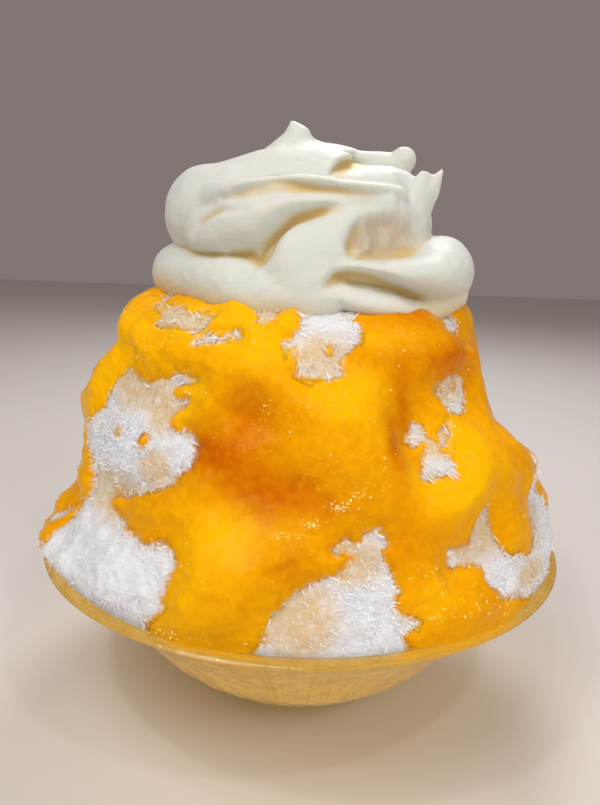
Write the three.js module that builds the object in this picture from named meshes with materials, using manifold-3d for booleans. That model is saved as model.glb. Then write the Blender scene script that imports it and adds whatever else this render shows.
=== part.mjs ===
// Shaved ice in a footed glass bowl: a tall heap of feathery ice, thick mango sauce poured over it and
// a folded dollop of whipped cream on top. Millimetres, +Z up, origin under the middle of the bowl's
// foot, front towards -Y. Azimuth is in degrees, counted from +X towards +Y, so the front is at -90.
import * as THREE from "three";
import { ImprovedNoise } from "three/addons/math/ImprovedNoise.js";
import { mergeVertices } from "three/addons/utils/BufferGeometryUtils.js";
import Module from "manifold-3d";

const wasm = await Module();
wasm.setup();

// Driving dimensions.
const RIM_RADIUS = 75;
const BOWL_HEIGHT = 46;
const FOOT_RADIUS = 27;
const FOOT_HEIGHT = 5;
const GLASS = 3; // wall thickness
const LIP_WIDTH = 3.6; // the rim's width, across the slanting wall
const ICE_TOP = 118; // top of the ice, under the cream
const SAUCE_DEPTH = 3; // thickness of the sauce where it lies flat
const GAP = 0.3; // between pieces that touch
const SIDES = 50; // facets round the bowl and the heap

const radians = THREE.MathUtils.degToRad;
const clamp = THREE.MathUtils.clamp;
const smoothstep = THREE.MathUtils.smoothstep;
const UP = new THREE.Vector3(0, 0, 1);

const at = (x, y) => new THREE.Vector2(x, y);

// ---------------------------------------------------------------- surfaces and solids

// A closed skin over a stack of rings with a pole at each end. The rings run upwards, each one goes
// anticlockwise as seen from above, and every second one is turned by half a facet.
function skin(rings, bottomPole, topPole) {
  const sides = rings[0].length;
  const bottom = rings.length * sides;
  const top = bottom + 1;
  const faces = [];
  for (let j = 0; j < sides; j++) {
    const next = (j + 1) % sides;
    faces.push(bottom, next, j);
    for (let i = 0; i + 1 < rings.length; i++) {
      const a = i * sides;
      const b = a + sides;
      if (i % 2 === 0) faces.push(a + j, a + next, b + j, a + next, b + next, b + j);
      else faces.push(a + j, a + next, b + next, a + j, b + next, b + j);
    }
    const last = bottom - sides;
    faces.push(last + j, last + next, top);
  }
  const geometry = new THREE.BufferGeometry();
  return geometry.setFromPoints([...rings.flat(), bottomPole, topPole]).setIndex(faces);
}

function solid(geometry) {
  const bare = new THREE.BufferGeometry();
  bare.setAttribute("position", geometry.getAttribute("position"));
  if (geometry.index) bare.setIndex(geometry.index);
  const merged = mergeVertices(bare, 1e-3);
  return new wasm.Manifold(
    new wasm.Mesh({
      numProp: 3,
      vertProperties: merged.attributes.position.array,
      triVerts: new Uint32Array(merged.index.array),
    }),
  );
}

const union = (solids) => solids.reduce((a, b) => a.add(b));

// The largest body of a solid: scraps that a cut leaves are dropped.
const largest = (cut) => cut.decompose().reduce((a, b) => (b.volume() > a.volume() ? b : a));

const turned = (outline) => solid(new THREE.LatheGeometry(outline, SIDES).rotateX(Math.PI / 2));

function piece(name, manifold, look) {
  const { vertProperties, triVerts } = manifold.getMesh();
  const geometry = new THREE.BufferGeometry();
  geometry.setAttribute("position", new THREE.BufferAttribute(vertProperties, 3));
  geometry.setIndex(new THREE.BufferAttribute(triVerts, 1));
  geometry.computeVertexNormals();
  const mesh = new THREE.Mesh(geometry, new THREE.MeshStandardMaterial({ metalness: 0, ...look }));
  mesh.name = name;
  return mesh;
}

// ---------------------------------------------------------------- glass bowl

// The outside of the wall, from the foot to the rim: a flared cone, steeper half-way up.
const wall = new THREE.SplineCurve([
  at(FOOT_RADIUS + 6, FOOT_HEIGHT),
  at(45, 14.8),
  at(55, 27),
  at(65, 37.4),
  at(RIM_RADIUS, BOWL_HEIGHT - 0.8),
]);
const WALL_STEPS = 4;
const FLOOR = FOOT_HEIGHT + 3; // height of the bowl's floor, inside

// The inside of the wall, from the floor to the rim, depth away from the outside.
function innerWall(depth) {
  const points = [];
  for (let i = 0; i <= WALL_STEPS; i++) {
    const t = i / WALL_STEPS;
    const slope = wall.getTangent(t);
    points.push(wall.getPoint(t).add(at(-slope.y, slope.x).multiplyScalar(depth)));
  }
  points[0].y = FLOOR + depth - GLASS;
  points[WALL_STEPS].set(RIM_RADIUS - LIP_WIDTH - (depth - GLASS), BOWL_HEIGHT - 0.5);
  return points;
}

function glassBowl() {
  const inside = innerWall(GLASS).reverse();
  return turned([
    at(0, 0),
    at(FOOT_RADIUS - 0.6, 0),
    at(FOOT_RADIUS, 0.8),
    at(FOOT_RADIUS + 0.5, FOOT_HEIGHT - 1.6),
    ...wall.getPoints(WALL_STEPS),
    at(RIM_RADIUS - 0.8, BOWL_HEIGHT),
    at(RIM_RADIUS - LIP_WIDTH + 0.8, BOWL_HEIGHT),
    ...inside,
    at(0, FLOOR),
  ]);
}

// Everything that the glass and the gap round it take up, from the inside of the wall outwards.
function aroundGlass() {
  const inside = innerWall(GLASS + GAP).reverse();
  return turned([
    at(0, -5),
    at(RIM_RADIUS + 20, -5),
    at(RIM_RADIUS + 20, BOWL_HEIGHT - 4),
    at(RIM_RADIUS + 1, BOWL_HEIGHT - 2),
    at(RIM_RADIUS + 0.4, BOWL_HEIGHT + GAP),
    at(RIM_RADIUS - LIP_WIDTH + 0.3, BOWL_HEIGHT + GAP),
    ...inside,
    at(0, FLOOR + GAP),
  ]);
}

// ---------------------------------------------------------------- heap of ice

// The heap's mean outline, from the rim to the middle of its top.
const heap = new THREE.SplineCurve([
  at(RIM_RADIUS - LIP_WIDTH - 1.4, BOWL_HEIGHT + 0.5),
  at(71, 51),
  at(68, 60),
  at(63.5, 70),
  at(60, 80),
  at(54.5, 90),
  at(50, 100),
  at(47, 108),
  at(43, 113.5),
  at(32, 116.8),
  at(2, ICE_TOP),
]);
const HEAP_STEPS = 18;

// How far a spot on the heap lies from the middle of a form, in half-widths of that form.
function distance(form, azimuth, radius, height) {
  const turn = ((azimuth - form.az + 540) % 360) - 180;
  const u = radians(turn) * radius;
  const v = height - form.z;
  const lean = radians(form.lean ?? 0);
  const along = (u * Math.cos(lean) + v * Math.sin(lean)) / form.wide;
  const across = (v * Math.cos(lean) - u * Math.sin(lean)) / form.tall;
  return Math.hypot(along, across);
}

// Swells and hollows of the heap: middle, half-width, half-height and rise.
const SWELLS = [
  { az: -162, z: 94, wide: 16, tall: 8, rise: 4.6 },
  { az: -166, z: 111, wide: 12, tall: 4, rise: 3.4 },
  { az: -160, z: 66, wide: 18, tall: 10, rise: -3.4 },
  { az: -156, z: 49, wide: 22, tall: 6, rise: 4.8 },
  { az: -135, z: 84, wide: 14, tall: 9, rise: 1.8 },
  { az: -133, z: 68, wide: 10, tall: 7, rise: -3 },
  { az: -126, z: 55, wide: 14, tall: 8, rise: 3 },
  { az: -112, z: 103, wide: 20, tall: 7, rise: 2 },
  { az: -104, z: 61, wide: 12, tall: 9, rise: 3.6 },
  { az: -101, z: 93, wide: 7, tall: 5, rise: -2 },
  { az: -96, z: 79, wide: 13, tall: 6, rise: -3 },
  { az: -80, z: 94, wide: 11, tall: 12, rise: 3.6 },
  { az: -76, z: 62, wide: 8, tall: 9, rise: -2 },
  { az: -65, z: 94, wide: 4, tall: 20, rise: -4 },
  { az: -50, z: 80, wide: 11, tall: 10, rise: 3.6 },
  { az: -52, z: 64, wide: 12, tall: 6, rise: -2.6 },
  { az: -48, z: 106, wide: 12, tall: 6, rise: 2.4 },
  { az: -12, z: 100, wide: 18, tall: 14, rise: -5 },
  { az: -14, z: 80, wide: 14, tall: 5, rise: 1.4 },
  { az: -8, z: 66, wide: 16, tall: 10, rise: -1.6 },
  { az: -30, z: 54, wide: 18, tall: 6, rise: 1 },
  { az: 20, z: 70, wide: 18, tall: 12, rise: 3 },
  { az: 48, z: 96, wide: 14, tall: 10, rise: -3 },
  { az: 62, z: 62, wide: 16, tall: 10, rise: 2.6 },
  { az: 88, z: 86, wide: 16, tall: 12, rise: 3 },
  { az: 118, z: 66, wide: 14, tall: 12, rise: -3 },
  { az: 132, z: 94, wide: 15, tall: 9, rise: 2.8 },
  { az: 165, z: 70, wide: 16, tall: 9, rise: 2.4 },
];

// Small crags all over the ice.
const CRAG_SIZE = 11;
const CRAG_RISE = 1.4;
const grain = new ImprovedNoise();

// The spots where the sauce leaves the ice bare: middle, half-width, half-height and lean.
const BARE = [
  { az: -139, z: 85, wide: 22, tall: 12, lean: 6 },
  { az: -150, z: 94, wide: 7, tall: 6 },
  { az: -134, z: 68, wide: 9, tall: 11 },
  { az: -131, z: 55, wide: 21, tall: 10 },
  { az: -148, z: 50, wide: 12, tall: 6 },
  { az: -78, z: 64, wide: 7, tall: 9, lean: 60 },
  { az: -82, z: 55, wide: 15, tall: 8 },
  { az: -46, z: 66, wide: 7, tall: 7 },
  { az: -48, z: 58, wide: 13, tall: 7 },
  { az: -28, z: 60, wide: 12, tall: 9 },
  { az: -86, z: 108, wide: 9, tall: 7.5 },
  { az: -138, z: 112.5, wide: 14, tall: 3.5 },
  { az: -49, z: 98, wide: 6.5, tall: 4.5 },
  { az: -57, z: 86, wide: 5, tall: 6 },
  { az: -22, z: 84, wide: 5, tall: 4 },
  { az: 24, z: 88, wide: 15, tall: 9 },
  { az: 40, z: 55, wide: 20, tall: 10 },
  { az: 78, z: 70, wide: 11, tall: 9 },
  { az: 96, z: 102, wide: 13, tall: 7 },
  { az: 104, z: 54, wide: 20, tall: 10 },
  { az: 140, z: 78, wide: 13, tall: 10 },
  { az: 160, z: 54, wide: 16, tall: 9 },
  { az: 176, z: 98, wide: 10, tall: 7 },
];
const POUR_HOLLOW = 31; // radius of the ice that the sauce leaves bare under the cream
const SAUCE_EDGE = 3.2; // how far in from its edge the sauce gains its full depth
const UNDER_ICE = -1.6; // how deep the poured form runs under the bare ice

// How far a spot lies outside the bare ice, in mm; below 0 it is bare.
function clearOfBare(azimuth, radius, height) {
  let clear = radius - POUR_HOLLOW;
  for (const form of BARE) {
    const outside = distance(form, azimuth, radius, height) - 1;
    clear = Math.min(clear, outside * Math.min(form.wide, form.tall));
  }
  return clear;
}

function iceRise(azimuth, radius, height) {
  const angle = radians(azimuth);
  const spot = [radius * Math.cos(angle), radius * Math.sin(angle), height];
  let rise = CRAG_RISE * grain.noise(...spot.map((v) => v / CRAG_SIZE));
  for (const form of SWELLS) rise += form.rise * Math.exp(-(distance(form, azimuth, radius, height) ** 2));
  const free = smoothstep(height, BOWL_HEIGHT, BOWL_HEIGHT + 5);
  const flat = 1 - smoothstep(height, ICE_TOP - 6, ICE_TOP - 1);
  return rise * free * flat;
}

function sauceDepth(azimuth, radius, height) {
  const full = clamp(clearOfBare(azimuth, radius, height) / SAUCE_EDGE + 0.4, 0, 1);
  return UNDER_ICE + (SAUCE_DEPTH - UNDER_ICE) * Math.sqrt(full);
}

// The heap's solid, with depth(azimuth, radius, height) laid on the free ice. The part that stands in
// the glass is drawn in by shrink.
function heapSolid(depth, shrink) {
  const inGlass = innerWall(GLASS + GAP + shrink);
  inGlass[WALL_STEPS].set(RIM_RADIUS - LIP_WIDTH - 1.2 - shrink, BOWL_HEIGHT - 1.2);
  const rings = [];
  const addRing = (place) => {
    const points = [];
    for (let j = 0; j < SIDES; j++) {
      const azimuth = (360 * (j + (rings.length % 2) / 2)) / SIDES - 180;
      const p = place(azimuth);
      points.push(new THREE.Vector3(p.x, 0, p.y).applyAxisAngle(UP, radians(azimuth)));
    }
    rings.push(points);
  };
  for (const p of inGlass) addRing(() => p);
  for (let i = 0; i < HEAP_STEPS; i++) {
    const p = heap.getPoint(i / HEAP_STEPS);
    const slope = heap.getTangent(i / HEAP_STEPS);
    const out = at(slope.y, -slope.x);
    addRing((azimuth) => {
      const laid = iceRise(azimuth, p.x, p.y) + depth(azimuth, p.x, p.y);
      return p.clone().addScaledVector(out, laid);
    });
  }
  const bottom = new THREE.Vector3(0, 0, inGlass[0].y);
  const top = new THREE.Vector3(0, 0, ICE_TOP + depth(0, 0, ICE_TOP));
  return solid(skin(rings, bottom, top));
}

// Loose slivers that stand out of the bare ice: long flat crystals, pointed at both ends.
const SLIVERS = 52;
const SLIVER_LENGTH = 9;
const SLIVER_WIDTH = 2.2;
const SLIVER_CLEAR = 3.4; // how far inside a bare spot a sliver stands

// A repeatable random number from low to high, for a sliver and a feature of it.
function draw(sliver, feature, low, high) {
  const x = Math.sin(sliver * 127.1 + feature * 311.7) * 43758.5453;
  return low + (high - low) * (x - Math.floor(x));
}

function slivers() {
  const made = [];
  for (let i = 0; made.length < SLIVERS; i++) {
    const azimuth = draw(i, 1, -180, 180);
    const p = heap.getPoint(draw(i, 2, 0.08, 0.72));
    if (clearOfBare(azimuth, p.x, p.y) > -SLIVER_CLEAR) continue;
    const crystal = new THREE.OctahedronGeometry(1);
    crystal.scale(SLIVER_LENGTH * draw(i, 3, 0.35, 0.65), SLIVER_WIDTH / 2, SLIVER_WIDTH / 4);
    crystal.rotateY(radians(draw(i, 4, -38, -8)));
    crystal.rotateX(radians(draw(i, 5, 0, 360)));
    crystal.rotateZ(radians(draw(i, 6, -60, 60)));
    crystal.translate(p.x + iceRise(azimuth, p.x, p.y) + 0.4, 0, p.y);
    made.push(solid(crystal.rotateZ(radians(azimuth))));
  }
  return made;
}

// ---------------------------------------------------------------- whipped cream

// The dollop is a rounded heart with rolls of cream folded round it and over it.
const HEART = new THREE.Vector3(0, 5, 122); // the rolls lie flat side out from here
const HEART_OUTLINE = [at(0, 108), at(34, 110), at(37, 119), at(34, 129), at(31, 140), at(20, 147), at(0, 151)];

// Each stop of a roll is x, y, z, half its breadth across and half its depth outwards.
const ROLLS = {
  lowerLeft: [
    [-33, 24, 123, 8, 10],
    [-34.4, 2, 121, 8.5, 10],
    [-22.2, -22, 120, 8, 9],
    [-11.3, -32, 118.6, 6.5, 8],
    [-1, -36, 117.6, 4, 6],
  ],
  tongue: [
    [16.3, -18, 139, 4, 5],
    [8.2, -26, 135.4, 8, 7],
    [1.8, -32, 129.2, 11, 8],
    [-1.7, -35, 122.2, 10.5, 8],
    [3.2, -36, 117.3, 8, 7],
  ],
  lowerRight: [
    [7.6, -32, 126.6, 3.5, 6],
    [16.6, -33, 127, 4.5, 8],
    [27.2, -25, 128, 7, 9],
    [35.7, -8, 124.4, 10, 9],
    [38.2, 10, 123, 9.5, 10],
    [34.6, 26, 123.3, 9, 10],
  ],
  lowerBack: [
    [34.6, 24, 123, 9, 10],
    [14, 36, 121.6, 9, 10],
    [-12, 37, 122.4, 9, 10],
    [-33, 24, 123, 8, 10],
  ],
  lip: [
    [36.7, -14, 118.5, 6, 8],
    [28.8, -27, 116.1, 3.6, 6],
    [19.8, -35, 116.8, 3.8, 6],
    [12.5, -37, 118, 3.8, 6],
    [6.8, -37, 120.3, 2.5, 4],
  ],
  belly: [
    [-31.3, 12, 130, 8, 9],
    [-28.6, -8, 131.3, 8.5, 9],
    [-19.8, -22, 133, 8.5, 8],
    [-12, -27, 134.8, 7, 8],
    [-2.8, -28, 138.3, 3.6, 6],
    [8, -26, 140, 2.6, 5],
    [19, -20, 140, 1.6, 4],
  ],
  band: [
    [-30, 4, 139.5, 8, 9],
    [-23.3, -14, 139, 6, 8],
    [-13.8, -24, 140.7, 4, 7],
    [-1.8, -26, 142, 3.6, 6],
    [9.2, -24, 141.7, 3, 6],
    [21.4, -16, 142, 2.5, 4],
  ],
  upperLeft: [
    [-30, 10, 138, 10.5, 10],
    [-26.6, -4, 139.6, 10.5, 10],
    [-16.3, -12, 143.6, 11, 8],
    [-3.4, -13, 147, 11, 7],
    [9.5, -13, 146.4, 9, 5.5],
    [23.9, -10, 146, 5, 3.5],
  ],
  upperBack: [
    [-30.4, 10, 138, 11, 10],
    [-12, 24, 139, 11, 10],
    [12, 24, 139, 10, 10],
    [29, 8, 138, 9, 8],
    [28, -4, 138, 8, 6],
  ],
  shelf: [
    [-5.3, -16, 147, 6, 4],
    [6.8, -20, 145.4, 6, 3.5],
    [18, -16, 145.3, 6, 4],
    [25, -9, 146.4, 5, 4],
  ],
  ridge: [
    [-16.2, 2, 149, 10, 6],
    [-3.8, 2, 152, 8, 6],
    [8.7, 3, 151.6, 6, 4],
    [20.6, 2, 151.4, 6, 4],
  ],
  peak: [
    [-4.2, -3, 150, 9, 9],
    [-5.1, -3, 156.4, 4.6, 4.6],
    [-6.1, -3, 161.2, 1, 1],
  ],
  nub: [
    [23.2, -1, 150, 3, 3],
    [24.5, 0, 153.3, 3.6, 3.6],
  ],
  flap: [
    [28, -14, 132.7, 3, 5],
    [29.4, -12, 139.3, 2.8, 4.5],
    [30.9, -9, 146.1, 2, 2.6],
  ],
};
const ROLL_SIDES = 9;
const ROLL_STEPS = 6;
const ROUND_END = [0.55, 0.9]; // how far out the rings of a rounded end lie, of the end's length

// A tube along a smooth path through the stops, oval in section and rounded at both ends.
function roll(stops) {
  const path = new THREE.CatmullRomCurve3(stops.map(([x, y, z]) => new THREE.Vector3(x, y, z)));
  const sizes = new THREE.SplineCurve(stops.map(([, , , across, out]) => at(across, out)));
  const rings = [];
  // A spot beside the path: slide is along it, in lengths of the round end.
  const station = (t, slide) => {
    const ahead = path.getTangent(t);
    const size = sizes.getPoint(t);
    const middle = path.getPoint(t).addScaledVector(ahead, slide * Math.min(size.x, size.y));
    return { middle, ahead, size };
  };
  const addRing = (t, slide) => {
    const { middle, ahead, size } = station(t, slide);
    const out = middle.clone().sub(HEART);
    out.addScaledVector(ahead, -out.dot(ahead)).normalize();
    const across = new THREE.Vector3().crossVectors(out, ahead);
    const narrowed = Math.sqrt(1 - slide * slide);
    const points = [];
    for (let k = 0; k < ROLL_SIDES; k++) {
      const turn = (2 * Math.PI * (k + (rings.length % 2) / 2)) / ROLL_SIDES;
      const point = middle.clone().addScaledVector(across, narrowed * size.x * Math.cos(turn));
      points.push(point.addScaledVector(out, narrowed * size.y * Math.sin(turn)));
    }
    rings.push(points);
  };
  for (const slide of [...ROUND_END].reverse()) addRing(0, -slide);
  for (let i = 0; i <= ROLL_STEPS; i++) addRing(i / ROLL_STEPS, 0);
  for (const slide of ROUND_END) addRing(1, slide);
  return solid(skin(rings, station(0, -1).middle, station(1, 1).middle));
}

const dollop = () => union([turned(HEART_OUTLINE), ...Object.values(ROLLS).map(roll)]);

// ---------------------------------------------------------------- putting it together

const ice = largest(union([heapSolid(() => 0, 0), ...slivers()]));
const iceAndGap = heapSolid(() => GAP, -0.2);
const poured = heapSolid(sauceDepth, 2);
const sauce = largest(poured.subtract(iceAndGap).subtract(aroundGlass()));
const coatedAndGap = heapSolid((...spot) => Math.max(0, sauceDepth(...spot)) + GAP, 0);
const cream = largest(dollop().subtract(coatedAndGap));

const dessert = new THREE.Group();
dessert.add(
  piece("glass_bowl", glassBowl(), { color: 0xe8eef0, roughness: 0.05, transparent: true, opacity: 0.4 }),
  piece("shaved_ice", ice, { color: 0xf0f3f6, roughness: 0.6 }),
  piece("mango_sauce", sauce, { color: 0xffa60a, roughness: 0.25 }),
  piece("whipped_cream", cream, { color: 0xf2f0e4, roughness: 0.45 }),
);

export default dessert;
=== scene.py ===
import math

import bpy
import numpy as np
from mathutils import Matrix, Vector


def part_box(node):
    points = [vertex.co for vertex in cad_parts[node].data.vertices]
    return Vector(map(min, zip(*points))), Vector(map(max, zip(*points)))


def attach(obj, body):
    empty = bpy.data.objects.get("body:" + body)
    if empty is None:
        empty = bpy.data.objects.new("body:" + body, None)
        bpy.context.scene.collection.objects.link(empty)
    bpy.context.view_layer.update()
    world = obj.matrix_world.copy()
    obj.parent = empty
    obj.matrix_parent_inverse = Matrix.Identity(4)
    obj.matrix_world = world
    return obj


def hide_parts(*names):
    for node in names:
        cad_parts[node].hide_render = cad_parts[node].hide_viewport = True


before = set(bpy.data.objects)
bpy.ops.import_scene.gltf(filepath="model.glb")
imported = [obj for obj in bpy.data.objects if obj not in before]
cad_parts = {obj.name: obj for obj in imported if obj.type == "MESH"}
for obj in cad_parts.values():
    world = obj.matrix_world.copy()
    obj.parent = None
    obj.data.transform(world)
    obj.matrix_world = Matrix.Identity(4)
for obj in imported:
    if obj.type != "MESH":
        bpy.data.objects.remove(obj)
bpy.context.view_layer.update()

# -------------------- glass bowl
# Pressed clear glass: a flared cone on a short solid foot, with a crinkled, ribbed wall and a plain
# polished band under the lip. It is drawn up ring by ring from the foot, as glass is blown into a mould,
# out over the lip and down the inside again.

MM = 0.001
_, rim_high = (1000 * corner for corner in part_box("glass_bowl"))
RIM_RADIUS = round(rim_high.x)
BOWL_HEIGHT = rim_high.z
FOOT_RADIUS = 27
FOOT_HEIGHT = 5
GLASS = 3
LIP_WIDTH = 3.6
LIP_ROUND = 1.2  # half the height of the rounded lip
FLOOR = FOOT_HEIGHT + GLASS
MIDDLE = 8  # radius of the plain discs at both ends of the outline
BOWL_SIDES = 288
# Radius and height of the outside of the wall, from the foot up.
WALL = [
    (FOOT_RADIUS + 6, FOOT_HEIGHT), (45, 14.8), (55, 27), (65, 37.4), (RIM_RADIUS, BOWL_HEIGHT - 0.8),
]
WALL_RINGS = 64
PLAIN_BAND = 6.5  # height of the polished band under the lip
RIB_DEPTH = 0.34
RIBS = 46
RIB_WAVER = 2.4
DENT_SIZE = 2.6
PRESSED_GLASS_BUMP = 0.16
CLEAR_GLASS = (0.97, 0.985, 0.98, 1)


def unit(vectors):
    """The vectors, each made one long."""
    return vectors / np.linalg.norm(vectors, axis=-1, keepdims=True)


def smooth_through(stops, share):
    """Points at shares (0 to 1) of a smooth line through the stops, and the line's direction there."""
    stops = np.asarray(stops, float)
    place = np.clip(share, 0, 1) * (len(stops) - 1)
    i = np.minimum(place.astype(int), len(stops) - 2)
    w = (place - i)[..., None]
    before, here = stops[np.maximum(i - 1, 0)], stops[i]
    there, after = stops[i + 1], stops[np.minimum(i + 2, len(stops) - 1)]
    out, back = (there - before) / 2, (after - here) / 2
    cubic = 2 * here - 2 * there + out + back
    square = 3 * there - 3 * here - 2 * out - back
    point = ((cubic * w + square) * w + out) * w + here
    ahead = (3 * cubic * w + 2 * square) * w + out
    return point, unit(ahead)


slopes = unit(np.random.default_rng(3).normal(size=(1024, 3)))


def grain(points, size, shift=0.0):
    """Soft noise from about -1 to 1 at each point, with lumps of the given size."""
    spots = np.asarray(points, float) / size + shift
    cell = np.floor(spots)
    inside = spots - cell
    eased = inside**3 * (inside * (inside * 6 - 15) + 10)
    total = np.zeros(spots.shape[:-1])
    for corner in np.ndindex(2, 2, 2):
        key = (cell + corner).astype(np.int64) @ (73856093, 19349663, 83492791)
        slope = slopes[key & 1023]
        weight = np.where(corner, eased, 1 - eased).prod(-1)
        total += weight * (slope * (inside - corner)).sum(-1)
    return 1.6 * total


def read(piece, what):
    """What the piece holds at each vertex: its place (co, in metres) or its outward direction (normal)."""
    flat = np.empty(3 * len(piece.data.vertices), np.float32)
    piece.data.vertices.foreach_get(what, flat)
    return flat.reshape(-1, 3)


def places(piece):
    """The piece's vertices, in millimetres."""
    return read(piece, "co").astype(float) / MM


def place(piece, points):
    """Moves the piece's vertices to these points, in millimetres."""
    piece.data.vertices.foreach_set("co", (points * MM).astype(np.float32).ravel())
    piece.data.update()


def added(name):
    """The primitive that was just added, under its own name."""
    piece = bpy.context.active_object
    piece.name = piece.data.name = name
    return piece


def edit(step, **settings):
    """Runs one step in edit mode on the whole of the active piece."""
    bpy.ops.object.mode_set(mode="EDIT")
    bpy.ops.mesh.select_all(action="SELECT")
    step(**settings)
    bpy.ops.object.mode_set(mode="OBJECT")


def apply(piece, kind, **settings):
    """Adds a modifier to the piece and applies it."""
    modifier = piece.modifiers.new(kind.lower(), kind)
    for name, value in settings.items():
        setattr(modifier, name, value)
    bpy.context.view_layer.objects.active = piece
    bpy.ops.object.modifier_apply(modifier=modifier.name)


class Wire:
    """One socket of a material. Arithmetic on it adds Math nodes."""

    def __init__(self, tree, socket):
        self.tree, self.socket = tree, socket

    def node(self, kind, settings, inputs, output=0):
        """Adds a node, sets it up, feeds its inputs with values or wires, and returns one output."""
        made = self.tree.nodes.new(kind)
        for name, value in settings.items():
            setattr(made, name, value)
        for name, value in inputs.items():
            if isinstance(value, Wire):
                self.tree.links.new(value.socket, made.inputs[name])
            else:
                made.inputs[name].default_value = value
        return Wire(self.tree, made.outputs[output])

    def math(self, operation, *values):
        return self.node("ShaderNodeMath", {"operation": operation}, dict(enumerate(values)))

    def __add__(self, other):
        return self.math("ADD", self, other)

    def __sub__(self, other):
        return self.math("SUBTRACT", self, other)

    def __mul__(self, other):
        return self.math("MULTIPLY", self, other)

    def __rsub__(self, other):
        return self.math("SUBTRACT", other, self)

    __radd__, __rmul__ = __add__, __mul__

    def between(self, low, high):
        """0 below low, 1 above high and a smooth rise between them."""
        settings = {"interpolation_type": "SMOOTHSTEP"}
        return self.node("ShaderNodeMapRange", settings, {"Value": self, "From Min": low, "From Max": high})

    def blend(self, low, high):
        """The colour low where this is 0 and high where it is 1."""
        paint = [c if isinstance(c, Wire) else (*c, 1) for c in (low, high)]
        return self.node("ShaderNodeMix", {"data_type": "RGBA"}, {0: self, 6: paint[0], 7: paint[1]}, 2)


class Finish:
    """A material round one Principled shader. Its constants go straight onto the shader's sockets."""

    def __init__(self, name, **constants):
        self.material = bpy.data.materials.new(name)
        self.material.use_nodes = True
        self.tree = self.material.node_tree
        self.shader = self.tree.nodes["Principled BSDF"]
        for socket, value in constants.items():
            self.shader.inputs[socket.replace("_", " ").title().replace("Ior", "IOR")].default_value = value
        start = self.tree.nodes.new("ShaderNodeTexCoord")
        self.spot = Wire(self.tree, start.outputs["Object"])

    def noise(self, size, detail=2.0, spot=None):
        """Noise with lumps of the given size in millimetres."""
        inputs = {"Vector": spot or self.spot, "Scale": 1 / (size * MM), "Detail": detail}
        return self.spot.node("ShaderNodeTexNoise", {}, inputs)

    def stretched(self, scale, turn=(0, 0, 0)):
        """The piece's coordinates, squeezed along each axis."""
        inputs = {"Vector": self.spot, "Rotation": turn, "Scale": scale}
        return self.spot.node("ShaderNodeMapping", {}, inputs)

    def around(self):
        """Where each spot lies round the upright axis, the same all the way up, for streaks."""
        inputs = {0: self.spot, 1: (1, 1, 0)}
        flat = self.spot.node("ShaderNodeVectorMath", {"operation": "MULTIPLY"}, inputs)
        return flat.node("ShaderNodeVectorMath", {"operation": "NORMALIZE"}, {0: flat})

    def worn(self, name):
        """A value that the mesh carries at each vertex."""
        return self.spot.node("ShaderNodeAttribute", {"attribute_name": name}, {}, "Fac")

    def feed(self, socket, wire):
        self.tree.links.new(wire.socket, self.shader.inputs[socket])

    def bump(self, height, depth):
        """Relief from a height of 0 to 1, depth in millimetres."""
        inputs = {"Height": height, "Distance": depth * MM, "Strength": 1.0}
        self.feed("Normal", self.spot.node("ShaderNodeBump", {}, inputs))

    def on(self, piece):
        piece.data.materials.clear()
        piece.data.materials.append(self.material)


def inner_wall(share, depth):
    """Points on the inside of the wall, depth away from its outside."""
    point, ahead = smooth_through(WALL, share)
    inside = point + depth * np.stack([-ahead[:, 1], ahead[:, 0]], -1)
    inside[0, 1] = FLOOR + depth - GLASS
    inside[-1] = RIM_RADIUS - LIP_WIDTH - (depth - GLASS), BOWL_HEIGHT - 0.5
    return inside


def bowl_outline():
    """Radius and height of each ring, from the middle of the foot to the middle of the inner floor."""
    shares = np.linspace(0, 1, WALL_RINGS)
    wide = FOOT_RADIUS
    foot = [(MIDDLE, 0), (wide - 1.2, 0), (wide - 0.4, 0.3), (wide, 1), (wide + 0.5, 3.2)]
    outside = smooth_through(WALL, shares)[0]
    turn = np.radians(np.linspace(20, 160, 8))
    half = LIP_WIDTH / 2
    middle = RIM_RADIUS - half
    top = BOWL_HEIGHT - LIP_ROUND
    lip = [(middle + half * math.cos(a), top + LIP_ROUND * math.sin(a)) for a in turn]
    inside = inner_wall(shares, GLASS)[::-1]
    return [*foot, *outside, *lip, *inside, (MIDDLE, FLOOR)]


def crinkles(points):
    """How far the pressed wall stands out at each point: short upright ribs that waver."""
    azimuth = np.arctan2(points[:, 1], points[:, 0])
    radius = np.hypot(points[:, 0], points[:, 1])
    height = points[:, 2]
    waver = grain(points, 9)
    ribs = np.sin(RIBS * azimuth + RIB_WAVER * waver + 0.25 * height)
    dents = grain(points * (1, 1, 0.6), DENT_SIZE, 7.3)
    pressed = np.clip((BOWL_HEIGHT - PLAIN_BAND - height) / 3, 0, 1)
    pressed = pressed * np.clip((radius - FOOT_RADIUS - 6) / 4, 0, 1)
    outside = radius > np.interp(height, [p[1] for p in WALL], [p[0] for p in WALL]) - 1.6
    return RIB_DEPTH * (0.5 * ribs + 0.9 * dents) * pressed * outside


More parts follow.
